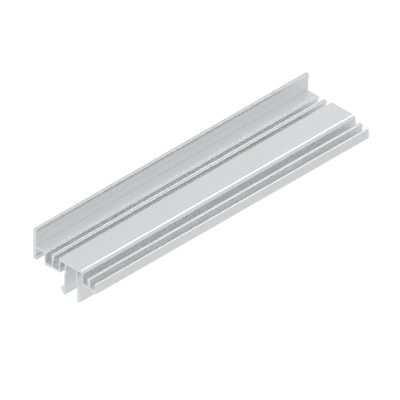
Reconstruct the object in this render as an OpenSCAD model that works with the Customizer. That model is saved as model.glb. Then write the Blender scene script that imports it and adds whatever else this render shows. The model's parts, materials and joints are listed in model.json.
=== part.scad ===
/* [Bar] */
// Length of the sawn bar
length = 300; // [50:5:6000]
// Round on the free edges of the section
edge_r = 0.4; // [0.1:0.05:0.5]
// Fillet in the inner corners of the grooves and walls
fillet_r = 0.4; // [0.1:0.05:0.6]
// Fillet in the creases beside the toe and the foot
crease_r = 0.1; // [0.05:0.05:0.15]
// Round on the small steps of the ribs and the lip
step_r = 0.3; // [0.1:0.05:0.35]
// Round under the hooked heads of the ribs
hook_r = 0.5; // [0.1:0.05:0.6]

/* [Cover flange] */
// Thickness of the tall cover flange
flange_t = 2.9; // [2:0.1:5]
// Height of the flange's top above the underside of the floor
flange_top = 27.8; // [22:0.1:60]
// Round on the outer edge of the flange's top
flange_r = 1.2; // [0.3:0.05:1.5]
// How much higher the inner edge of the flange's top stands than the outer one
bead_rise = 0.6; // [0.1:0.05:1]
// How far the bead along the flange's top stands proud
bead_proud = 0.8; // [0.2:0.05:1.5]
// Depth of the bead before it starts to fade out
bead_depth = 2.2; // [1.4:0.1:4]
// Length over which the bead fades into the flange
bead_fade = 4.2; // [3:0.1:8]
// Round where the bead starts to fade out
bead_r = 2; // [0.5:0.1:4]
// Round where the bead has faded out
fade_r = 5; // [1:0.5:8]
// How far the toe along the flange's bottom stands proud
toe_proud = 0.7; // [0.5:0.05:2]
// Height of the toe
toe_height = 4.2; // [2:0.1:6]

/* [Web] */
// Clear width between the flange and the first groove's wall
web_span = 9.4; // [5:0.1:30]
// Height of the web's top above the underside of the floor
web_top = 12; // [10:0.1:14]
// Thickness of the web
web_t = 1.9; // [1.6:0.1:2.5]
// Size of the fine notch in the crease between the flange and the web
notch = 0.5; // [0.3:0.05:0.8]
// How far the web's end overhangs the first groove
web_overhang = 1.35; // [0.9:0.05:2]
// Step down to the narrow ledge along the web's end
web_step = 0.65; // [0.6:0.05:0.8]
// Width of that ledge
web_ledge = 2; // [1.6:0.05:3]

/* [Left grooves] */
// Thickness of the groove walls
wall_t = 1.5; // [1.2:0.05:2]
// Thickness of the floor under the grooves
floor_t = 1.9; // [1.4:0.05:2.6]
// How far the foot under the first groove stands below the floor
foot_drop = 0.9; // [0.5:0.05:2]
// Width of the foot
foot_w = 5.8; // [3:0.1:7]
// Run of the slope at the foot's right side
foot_slope = 0.5; // [0.2:0.05:1]
// Clear width of the first groove
groove_1_w = 6.7; // [5.5:0.1:12]
// Clear width of the second groove
groove_2_w = 6.4; // [5.5:0.1:12]
// Height of the rib between the two grooves
rib_1_top = 12.7; // [11:0.1:14]
// Depth of the rib's head
rib_1_head = 3.6; // [3:0.1:4]
// How far the rib's head overhangs the first groove
rib_1_lip = 0.4; // [0.3:0.05:0.8]
// Round on the right edge of the ridge along the rib's head
ridge_r = 0.7; // [0.3:0.05:0.75]
// Width of that ridge
rib_1_ridge = 1.4; // [1.2:0.05:1.6]
// Step down from the ridge to the ledge on the hook
rib_1_step = 0.9; // [0.85:0.05:1.2]
// How far the hook overhangs the second groove
rib_1_overhang = 1.2; // [1:0.05:1.5]
// How far the ledges of the web and the rib rise towards their outer edges
ledge_rise = 0.35; // [0.1:0.05:0.5]

/* [Top plate] */
// Height of the plate's top above the underside of the floor
plate_top = 13.2; // [12:0.1:16]
// Thickness of the plate
plate_t = 2.35; // [1.6:0.05:3]
// Outer round where the plate turns down into its right wall
plate_r = 3.1; // [1:0.1:5]

/* [Clip legs] */
// Thickness of the clip legs
leg_t = 1.5; // [1.2:0.05:1.8]
// Clear width between the second groove's wall and the left leg
left_pocket_w = 4.9; // [3:0.1:10]
// Clear width between the two legs
leg_gap = 10.8; // [6:0.1:30]
// Clear width between the right leg and the plate's right wall
right_pocket_w = 5; // [4.5:0.1:10]
// How far the legs reach below the underside of the floor
leg_reach = 18.5; // [16:0.1:30]
// Round where a leg bends
bend_r = 1; // [0.3:0.05:1.5]
// How far the left leg steps away from the gap
left_step = 0.8; // [0.3:0.05:1.2]
// Height above the floor's underside at which the left leg's step begins
left_step_top = 3; // [1.5:0.1:5]
// Height of the left leg's step
left_step_h = 2.2; // [1.5:0.1:4]
// How far the right leg steps away from the gap
right_step = 1.3; // [0.5:0.05:1.6]
// Depth below the floor's underside at which the right leg's step begins
right_step_top = 1.5; // [0.5:0.1:3]
// Height of the right leg's step
right_step_h = 2.9; // [2:0.1:5]
// How far each leg's barb stands out from the leg
barb_out = 3.6; // [3:0.1:4.5]
// Height of each barb's point above the leg's tip
barb_h = 5.2; // [4:0.1:6]
// Round on each barb's point
barb_r = 1; // [0.4:0.05:1.2]
// Height above the tip at which the left leg's barb begins
left_barb_top = 9.6; // [8:0.1:12]
// Height above the tip at which the right leg's barb begins
right_barb_top = 17.9; // [14:0.1:18]
// Round on the legs' tips
tip_r = 0.8; // [0.4:0.05:0.8]
// Width of the sloping tip below each barb
tip_w = 2.8; // [2:0.1:3]
// Rise of the sloping tip towards the barb
tip_rise = 0.8; // [0.3:0.05:1.5]
// Bevel on the inner corner of the right leg's tip
tip_bevel = 1.4; // [1.2:0.05:2]

/* [Right grooves] */
// Thickness of the right-hand floor
right_floor_t = 1.7; // [1.2:0.05:2]
// Clear width of the third groove
groove_3_w = 5.5; // [4.5:0.1:12]
// Thickness of the right-hand rib
rib_2_t = 2.1; // [1.8:0.05:3]
// Height of the right-hand rib
rib_2_top = 9.8; // [8:0.1:12]
// Depth of the right-hand rib's head
rib_2_head = 3.1; // [2.4:0.1:4]
// How far its head overhangs the third groove
rib_2_overhang = 1.2; // [0.8:0.05:1.2]
// How far the head's top falls away over the third groove
rib_2_fall = 0.6; // [0.1:0.05:0.8]
// Round on the head's two top edges
rib_2_r = 0.8; // [0.3:0.05:1]
// Clear width of the fourth groove
groove_4_w = 5.6; // [4.5:0.1:12]
// Thickness of the outer lip
lip_t = 1.2; // [1:0.05:2]
// Height of the outer lip
lip_top = 7.9; // [6:0.1:12]
// Depth of the barb along the lip's top
lip_head = 1.6; // [1:0.05:2.5]
// How far the lip's barb overhangs the fourth groove
lip_overhang = 0.75; // [0.6:0.05:1]
// How far the lip's base stands below the underside of the floor
lip_drop = 1.3; // [0.8:0.05:2]
// Length over which the floor thickens towards the lip
lip_run = 2.5; // [1.5:0.1:4]
// Round on the lip's outer corners
lip_r = 1; // [0.3:0.05:1.2]

/* [Hidden] */

// The section is drawn in x and z, from the flange's outer face and the underside of the floor.
wall_1_x = flange_t + web_span;
groove_1_x = wall_1_x + wall_t;
web_end_x = groove_1_x + web_overhang;
web_edge_x = web_end_x - web_ledge;
rib_1_x = groove_1_x + groove_1_w;
ridge_x = rib_1_x - rib_1_lip;
ridge_edge_x = ridge_x + rib_1_ridge;
hook_1_x = rib_1_x + wall_t + rib_1_overhang;
groove_2_x = rib_1_x + wall_t;
plate_x = groove_2_x + groove_2_w;
left_leg_x = plate_x + wall_t + left_pocket_w;
left_foot_x = left_leg_x - left_step;
gap_x = left_leg_x + leg_t;
right_leg_x = gap_x + leg_gap;
right_foot_x = right_leg_x + right_step;
right_wall_x = right_leg_x + leg_t + right_pocket_w;
groove_3_x = right_wall_x + wall_t;
rib_2_x = groove_3_x + groove_3_w;
hook_2_x = rib_2_x - rib_2_overhang;
groove_4_x = rib_2_x + rib_2_t;
lip_x = groove_4_x + groove_4_w;
barb_x = lip_x - lip_overhang;
width = lip_x + lip_t;

web_under = web_top - web_t;
web_ledge_z = web_top - web_step;
rib_1_ledge_z = rib_1_top - rib_1_step;
plate_under = plate_top - plate_t;
right_floor_under = floor_t - right_floor_t;
toe_top = toe_height - foot_drop;

// Most that one facet of an arc may turn, in degrees
arc_step = 12;

function unit(v) = v / norm(v);

// Corner i of an outline of [x, z, radius] corners, and the centre of the arc that rounds it
function corner(corners, i) = let (c = corners[(i + len(corners)) % len(corners)]) [c.x, c.y];
function back(corners, i) = unit(corner(corners, i - 1) - corner(corners, i));
function ahead(corners, i) = unit(corner(corners, i + 1) - corner(corners, i));
function half_angle(corners, i) = acos(back(corners, i) * ahead(corners, i)) / 2;
function arc_centre(corners, i) =
    corner(corners, i)
    + unit(back(corners, i) + ahead(corners, i)) * corners[i].z / sin(half_angle(corners, i));

// The outline's points, with each corner rounded by an arc of its radius
function rounded(corners) = [
    for (i = [0 : len(corners) - 1])
        let (
            half = half_angle(corners, i),
            centre = arc_centre(corners, i),
            start = corner(corners, i) + back(corners, i) * corners[i].z / tan(half) - centre,
            sweep = (180 - 2 * half) * sign(cross(ahead(corners, i), back(corners, i))),
            steps = max(1, ceil(abs(sweep) / arc_step))
        )
        for (k = [0 : steps])
            let (a = sweep * k / steps)
            centre + [start.x * cos(a) - start.y * sin(a), start.x * sin(a) + start.y * cos(a)]
];

// The outline runs clockwise from the flange's bottom left corner: along the top to the outer lip,
// then back along the underside. Each feature gives its own corners as [x, z, radius].

// Tall flange: outer face, bead that fades into its inner face, and the notch beside the web
cover_flange = [
    [0, -foot_drop, edge_r],
    [0, flange_top, flange_r],
    [flange_t + bead_proud, flange_top + bead_rise, edge_r],
    [flange_t + bead_proud, flange_top - bead_depth, bead_r],
    [flange_t, flange_top - bead_depth - bead_fade, fade_r],
    [flange_t, web_top - notch, crease_r],
    [flange_t + notch, web_top, crease_r]
];

// End of the web, which steps down to a narrow ledge and overhangs the first groove
web_end = [
    [web_edge_x, web_top, edge_r],
    [web_edge_x, web_ledge_z, crease_r],
    [web_end_x, web_ledge_z + ledge_rise, edge_r],
    [web_end_x, web_under, edge_r],
    [groove_1_x, web_under, fillet_r]
];

// Rib between the first two grooves, with a ridge along its top and a hook over the second groove
left_rib = [
    [groove_1_x, floor_t, fillet_r],
    [rib_1_x, floor_t, fillet_r],
    [rib_1_x, rib_1_top - rib_1_head - rib_1_lip, step_r],
    [ridge_x, rib_1_top - rib_1_head, step_r],
    [ridge_x, rib_1_top, edge_r],
    [ridge_edge_x, rib_1_top, ridge_r],
    [ridge_edge_x, rib_1_ledge_z, crease_r],
    [hook_1_x, rib_1_ledge_z + ledge_rise, edge_r],
    [hook_1_x, rib_1_top - rib_1_head, edge_r],
    [groove_2_x, rib_1_top - rib_1_head - rib_1_overhang, hook_r],
    [groove_2_x, floor_t, fillet_r]
];

// Plate that joins the two sides, turned down at its right edge
top_plate = [
    [plate_x, floor_t, fillet_r],
    [plate_x, plate_top, edge_r],
    [groove_3_x, plate_top, plate_r],
    [groove_3_x, floor_t, fillet_r]
];

// Rib between the last two grooves, with a head that hooks over the third
right_rib = [
    [rib_2_x, floor_t, fillet_r],
    [rib_2_x, rib_2_top - rib_2_head - rib_2_overhang, hook_r],
    [hook_2_x, rib_2_top - rib_2_head, edge_r],
    [hook_2_x, rib_2_top - rib_2_fall, rib_2_r],
    [rib_2_x, rib_2_top, rib_2_r],
    [groove_4_x, rib_2_top, rib_2_r],
    [groove_4_x, floor_t, fillet_r]
];

// Outer lip with its barb, and the thicker floor below it
outer_lip = [
    [lip_x, floor_t, fillet_r],
    [lip_x, lip_top - lip_head - lip_overhang, step_r],
    [barb_x, lip_top - lip_head, edge_r],
    [barb_x, lip_top, edge_r],
    [width, lip_top, lip_r],
    [width, -lip_drop, lip_r],
    [groove_4_x + lip_run, -lip_drop, lip_r],
    [groove_4_x, right_floor_under, lip_r],
    [right_wall_x, right_floor_under, edge_r],
    [right_wall_x, plate_under, fillet_r]
];

// Right clip leg, which steps right and widens all the way down to its barb
right_leg = [
    [right_leg_x + leg_t, plate_under, fillet_r],
    [right_leg_x + leg_t, right_barb_top - leg_reach, bend_r],
    [right_foot_x + leg_t + barb_out, barb_h - leg_reach, barb_r],
    [right_foot_x + tip_w, tip_rise - leg_reach, tip_r],
    [right_foot_x + tip_bevel, -leg_reach, hook_r],
    [right_foot_x, tip_bevel - leg_reach, tip_r],
    [right_foot_x, -right_step_top - right_step_h, bend_r],
    [right_leg_x, -right_step_top, bend_r],
    [right_leg_x, plate_under, fillet_r]
];

// Left clip leg, which steps left and ends in a shorter barb
left_tip_x = left_foot_x + leg_t - tip_w;
tip_corner = 4;
left_leg = [
    [gap_x, plate_under, fillet_r],
    [gap_x, left_step_top, bend_r],
    [left_foot_x + leg_t, left_step_top - left_step_h, bend_r],
    [left_foot_x + leg_t, -leg_reach, tip_r],
    [left_tip_x, tip_rise - leg_reach, tip_r],
    [left_foot_x - barb_out, barb_h - leg_reach, barb_r],
    [left_foot_x, left_barb_top - leg_reach, hook_r],
    [left_foot_x, left_step_top - left_step_h, bend_r],
    [left_leg_x, left_step_top, bend_r],
    [left_leg_x, plate_under, fillet_r]
];

// Underside of the left-hand floor, with the foot below the first groove
left_floor = [
    [plate_x + wall_t, plate_under, fillet_r],
    [plate_x + wall_t, 0, edge_r],
    [wall_1_x + foot_w + foot_slope, 0, crease_r],
    [wall_1_x + foot_w, -foot_drop, edge_r],
    [wall_1_x, -foot_drop, edge_r],
    [wall_1_x, web_under, fillet_r]
];

// Underside of the web and the toe along the flange's bottom
toe = [
    [flange_t, web_under, fillet_r],
    [flange_t, toe_top, crease_r],
    [flange_t + toe_proud, toe_top, crease_r],
    [flange_t + toe_proud, -foot_drop, edge_r]
];

outline = concat(
    cover_flange, web_end, left_rib, top_plate, right_rib, outer_lip, right_leg, left_leg, left_floor, toe
);

// Left free, the bar can't stand on its legs, because its centre of mass lies left of them. It leans
// over until it rests on two rounds: the one under the flange and the one at the left leg's tip.
flange_round = arc_centre(outline, 0);
leg_round = arc_centre(left_leg, tip_corner);
between = leg_round - flange_round;
lean = -atan2(between.y, between.x) + asin((tip_r - edge_r) / norm(between));
section = [
    for (p = rounded(outline)) [p.x * cos(lean) - p.y * sin(lean), p.x * sin(lean) + p.y * cos(lean)]
];
left_x = min([for (p = section) p.x]);
right_x = max([for (p = section) p.x]);
floor_z = min([for (p = section) p.y]);

// One straight extruded bar, sawn square at both ends
module profile()
    color([0.78, 0.79, 0.8])
        translate([-(left_x + right_x) / 2, 0, -floor_z])
            rotate([90, 0, 0])
                linear_extrude(height = length, center = true)
                    polygon(section);

profile();
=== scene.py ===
import json
import math

import bpy
from mathutils import Matrix, Vector


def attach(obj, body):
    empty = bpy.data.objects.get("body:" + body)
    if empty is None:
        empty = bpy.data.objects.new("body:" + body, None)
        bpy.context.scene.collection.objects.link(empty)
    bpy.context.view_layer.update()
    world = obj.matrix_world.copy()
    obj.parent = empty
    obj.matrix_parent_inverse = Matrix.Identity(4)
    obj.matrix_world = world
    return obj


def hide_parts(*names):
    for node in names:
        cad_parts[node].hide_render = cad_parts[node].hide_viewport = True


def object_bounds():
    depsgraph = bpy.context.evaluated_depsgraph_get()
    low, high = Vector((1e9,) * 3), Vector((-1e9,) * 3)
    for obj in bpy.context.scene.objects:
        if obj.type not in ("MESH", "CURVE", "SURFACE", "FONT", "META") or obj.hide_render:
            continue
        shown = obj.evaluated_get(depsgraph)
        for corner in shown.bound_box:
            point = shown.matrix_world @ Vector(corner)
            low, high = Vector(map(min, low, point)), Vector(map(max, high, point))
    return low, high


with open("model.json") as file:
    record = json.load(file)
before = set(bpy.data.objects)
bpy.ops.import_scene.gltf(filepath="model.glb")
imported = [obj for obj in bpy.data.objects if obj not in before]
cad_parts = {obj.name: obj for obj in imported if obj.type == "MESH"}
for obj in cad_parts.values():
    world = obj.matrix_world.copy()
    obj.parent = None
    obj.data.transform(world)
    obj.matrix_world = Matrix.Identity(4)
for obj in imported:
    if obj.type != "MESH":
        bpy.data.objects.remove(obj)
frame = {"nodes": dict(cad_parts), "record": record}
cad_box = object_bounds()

# ---------------------------------------------------------------------------------------------
# The bar: one length of window-frame section in aluminium, pressed hot through a steel die and
# sawn square at both ends. The die leaves every face smooth and every edge slightly round, so the
# solid is copied, its faces joined up, and only the sawn rims get a tiny deburred chamfer.
# ---------------------------------------------------------------------------------------------
MM = 0.001
burr_chamfer = 0.08 * MM
merge_distance = 0.001 * MM
flat_within = math.radians(0.5)
round_shading = math.radians(30)
square_to_length = 0.999     # the least part of a sawn face's normal that lies along the bar

solid = frame["nodes"]["profile"]
bar = bpy.data.objects.new("extruded_bar", solid.data.copy())
bpy.context.scene.collection.objects.link(bar)
bar.data.materials.clear()
bpy.ops.object.select_all(action="DESELECT")
bar.select_set(True)
bpy.context.view_layer.objects.active = bar


def is_sawn(face):
    """Whether a face is one of the two ends, square to the bar's length."""
    return abs(face.normal.y) > square_to_length


def choose_end(end):
    """In edit mode, selects only the sawn face that looks along y (1) or against it (-1)."""
    bpy.ops.mesh.select_all(action="DESELECT")
    bpy.ops.object.mode_set(mode="OBJECT")
    for face in bar.data.polygons:
        face.select = is_sawn(face) and face.normal.y * end > 0
    bpy.ops.object.mode_set(mode="EDIT")


bpy.ops.object.mode_set(mode="EDIT")
bpy.ops.mesh.select_mode(type="FACE")
bpy.ops.mesh.select_all(action="SELECT")
bpy.ops.mesh.remove_doubles(threshold=merge_distance)
bpy.ops.mesh.dissolve_limited(angle_limit=flat_within)
for end in (-1, 1):
    choose_end(end)
    bpy.ops.transform.translate(value=(0, -end * burr_chamfer, 0))
    bpy.ops.mesh.inset(thickness=burr_chamfer, depth=burr_chamfer)
bpy.ops.object.mode_set(mode="OBJECT")

bpy.ops.object.shade_smooth_by_angle(angle=round_shading)
bpy.ops.object.modifier_add(type="WEIGHTED_NORMAL")
flat_first = bar.modifiers[-1]
flat_first.keep_sharp = True
flat_first.weight = 100      # the largest face at a corner decides its normal, so the flats stay flat
bpy.ops.object.modifier_apply(modifier=flat_first.name)


class Sock:
    """A shader socket that can be used in sums: an expression on sockets adds its Math nodes."""

    def __init__(self, finish, socket):
        self.finish = finish
        self.socket = socket

    def math(self, operation, *values):
        return self.finish.node("ShaderNodeMath", {"operation": operation}, dict(enumerate(values)))

    def __add__(self, other):
        return self.math("ADD", self, other)

    def __mul__(self, other):
        return self.math("MULTIPLY", self, other)

    __radd__ = __add__
    __rmul__ = __mul__


class Finish:
    """One material, and the one way its nodes are made."""

    def __init__(self, name, settings):
        self.material = bpy.data.materials.new(name)
        self.material.use_nodes = True
        self.nodes = self.material.node_tree.nodes
        self.links = self.material.node_tree.links
        self.shader = self.nodes["Principled BSDF"]
        for socket, value in settings.items():
            self.shader.inputs[socket].default_value = value

    def node(self, kind, settings, inputs, output=0):
        """Adds a node: its settings, then its sockets' values and links. Gives one of its outputs."""
        made = self.nodes.new(kind)
        for name, value in settings.items():
            setattr(made, name, value)
        for socket, value in inputs.items():
            self.feed(made.inputs[socket], value)
        return Sock(self, made.outputs[output])

    def feed(self, socket, value):
        if isinstance(value, Sock):
            self.links.new(value.socket, socket)
        else:
            socket.default_value = value

    def drive(self, socket, value):
        self.feed(self.shader.inputs[socket], value)

    def place(self, scale, centre=(0, 0, 0)):
        """Object coordinates in metres, measured from a centre and stretched."""
        at = self.node("ShaderNodeTexCoord", {}, {}, output="Object")
        inputs = {"Vector": at, "Location": tuple(-c for c in centre), "Scale": scale}
        return self.node("ShaderNodeMapping", {}, inputs)

    def distance(self, centre, scale=(1, 1, 1)):
        return self.node("ShaderNodeVectorMath", {"operation": "LENGTH"},
                         {0: self.place(scale, centre)}, output="Value")

    def noise(self, at, scale, detail=3.0, roughness=0.5):
        inputs = {"Vector": at, "Scale": scale, "Detail": detail, "Roughness": roughness}
        return self.node("ShaderNodeTexNoise", {}, inputs, output="Fac")

    def blend(self, share, low, high):
        """From one colour to another: a colour mix has its sockets at 0, 6, 7 and its output at 2."""
        return self.node("ShaderNodeMix", {"data_type": "RGBA"}, {0: share, 6: low, 7: high}, output=2)

    def bump(self, height, distance, strength):
        inputs = {"Height": height, "Distance": distance, "Strength": strength}
        return self.node("ShaderNodeBump", {}, inputs, output="Normal")


# As-extruded faces: satin mill finish, with die lines that run the whole length of the bar
mill = Finish("mill_finish_aluminium", {"Metallic": 1.0})
per_mm = 1 / MM
line_run = 2.5               # cells per metre along the bar, so a line runs on for most of its length
line_relief = 0.004 * MM
along_bar = mill.place((per_mm, line_run, per_mm))
die_lines = mill.noise(along_bar, 2.2, detail=4, roughness=0.6)
broad_lines = mill.noise(along_bar, 0.45, detail=2)
clouds = mill.noise(mill.place((40, 12, 40)), 1.0)
lines = die_lines * 0.6 + broad_lines * 0.4
tone = lines * 0.6 + clouds * 0.4
mill.drive("Base Color", mill.blend(tone, (0.892, 0.908, 0.915, 1), (0.932, 0.948, 0.955, 1)))
mill.drive("Roughness", lines * 0.12 + clouds * 0.08 + 0.2)
mill.drive("Normal", mill.bump(die_lines, line_relief, 0.6))

# Sawn ends: the blade leaves shallow arcs across the metal and a slightly duller, paler face
sawn = Finish("sawn_aluminium", {"Metallic": 0.6})
blade_centre = (50 * MM, 0, -160 * MM)
kerf_relief = 0.01 * MM
reach = sawn.distance(blade_centre, scale=(1, 0, 1))
sweep = sawn.node("ShaderNodeCombineXYZ", {}, {"X": reach * per_mm})
kerf = sawn.noise(sweep, 1.6, roughness=0.6)
grain = sawn.noise(sawn.place((per_mm, per_mm, per_mm)), 1.2)
tone = kerf * 0.5 + grain * 0.5
sawn.drive("Base Color", sawn.blend(tone, (0.88, 0.893, 0.9, 1), (0.95, 0.963, 0.97, 1)))
sawn.drive("Roughness", kerf * 0.15 + grain * 0.1 + 0.38)
sawn.drive("Normal", sawn.bump(kerf, kerf_relief, 0.7))

bar.data.materials.append(mill.material)
bar.data.materials.append(sawn.material)
for face in bar.data.polygons:
    face.material_index = 1 if is_sawn(face) else 0

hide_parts("profile")
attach(bar, "root")

# ---------------------------------------------------------------------------------------------
# The studio: a white light table that the bar lies on, with a soft white surround.
# The bar lies leaning on its flange and one leg; everything is set out as if its plate were level.
# ---------------------------------------------------------------------------------------------
mounts = {mount["name"]: mount for mount in frame["record"]["mounts"]}
outward = Vector(mounts["cover_face"]["axis"])
lean = math.atan2(-outward.z, -outward.x)
level = Matrix.Rotation(-lean, 3, "Y")      # turns a direction meant for a level bar to the leaning one

low, high = (Vector(corner) for corner in cad_box)
middle = (low + high) / 2

# The table looks white, but lights the bar with less than that and fades far from it, so the
# faces that mirror the table stay a shade greyer than the white around the bar
table_side = 6
table_gap = 0.2 * MM
thrown_back = 0.59
bright_radius = 0.26
faded_radius = 0.9
faded_share = 0.45
bpy.ops.mesh.primitive_plane_add(size=table_side, location=(0, 0, low.z - table_gap))
table = bpy.context.object
table.name = "light_table"
glow = Finish("white_light_table",
              {"Base Color": (0.1, 0.1, 0.1, 1), "Roughness": 0.9, "Emission Strength": 1.0})
fade = {"From Min": bright_radius, "From Max": faded_radius, "To Min": 1.0, "To Max": faded_share}
shade = glow.node("ShaderNodeMapRange", {"interpolation_type": "SMOOTHSTEP"},
                  {"Value": glow.distance((0, 0, 0)), **fade})
seen = glow.node("ShaderNodeLightPath", {}, {}, output="Is Camera Ray")
brightness = seen.math("MAXIMUM", seen, shade * thrown_back)
glow.drive("Emission Color", glow.blend(brightness, (0, 0, 0, 1), (1, 1, 1, 1)))
table.data.materials.append(glow.material)

surround = bpy.data.worlds.new("white_surround")
surround.use_nodes = True
background = surround.node_tree.nodes["Background"]
background.inputs["Color"].default_value = (1, 1, 1, 1)
background.inputs["Strength"].default_value = 0.695
bpy.context.scene.world = surround

lamp_distance = 1.5
lamp_side = 0.3


def softbox(name, direction, power):
    """A square area light that faces the bar from a direction meant for a level bar."""
    lamp = bpy.data.lights.new(name, "AREA")
    lamp.size = lamp_side
    lamp.energy = power
    holder = bpy.data.objects.new(name, lamp)
    holder.location = middle + level @ Vector(direction).normalized() * lamp_distance
    holder.rotation_euler = (middle - holder.location).to_track_quat("-Z", "Y").to_euler()
    bpy.context.scene.collection.objects.link(holder)


# One lamp draws the bright lines on the round edges; the other only reaches the near sawn end
softbox("edge_light", (-0.24, 0.58, 0.78), 1.1)
softbox("end_light", (0, -1, 0), 4.5)

# ---------------------------------------------------------------------------------------------
# The camera: parallel projection from above the sawn end, 35 degrees above the level bar and
# half way round to its side. It leans with the bar, so the plate looks level.
# ---------------------------------------------------------------------------------------------
elevation = math.radians(34.995)
azimuth = math.radians(45)
frame_width = 311.3 * MM
camera_distance = 1.0
camera_reach = 10
centre_from_plate = Vector((-7.05, -1.02, -15.3)) * MM
sight = Vector((math.cos(elevation) * math.sin(azimuth), -math.cos(elevation) * math.cos(azimuth),
                math.sin(elevation)))
right = Vector((math.cos(azimuth), math.sin(azimuth), 0))
up = sight.cross(right)
camera_data = bpy.data.cameras.new("camera")
camera_data.type = "ORTHO"
camera_data.ortho_scale = frame_width
camera_data.clip_end = camera_reach
camera = bpy.data.objects.new("camera", camera_data)
turn = Matrix((level @ right, level @ up, level @ sight)).transposed()
plate = Vector(mounts["plate_face"]["pos_m"])
stand = plate + level @ centre_from_plate + level @ sight * camera_distance
camera.matrix_world = Matrix.Translation(stand) @ turn.to_4x4()
bpy.context.scene.collection.objects.link(camera)
bpy.context.scene.camera = camera

bpy.context.scene.view_settings.view_transform = "Standard"
bpy.context.scene.cycles.max_bounces = 16        # light bounces many times inside the grooves
bpy.context.scene.cycles.glossy_bounces = 12
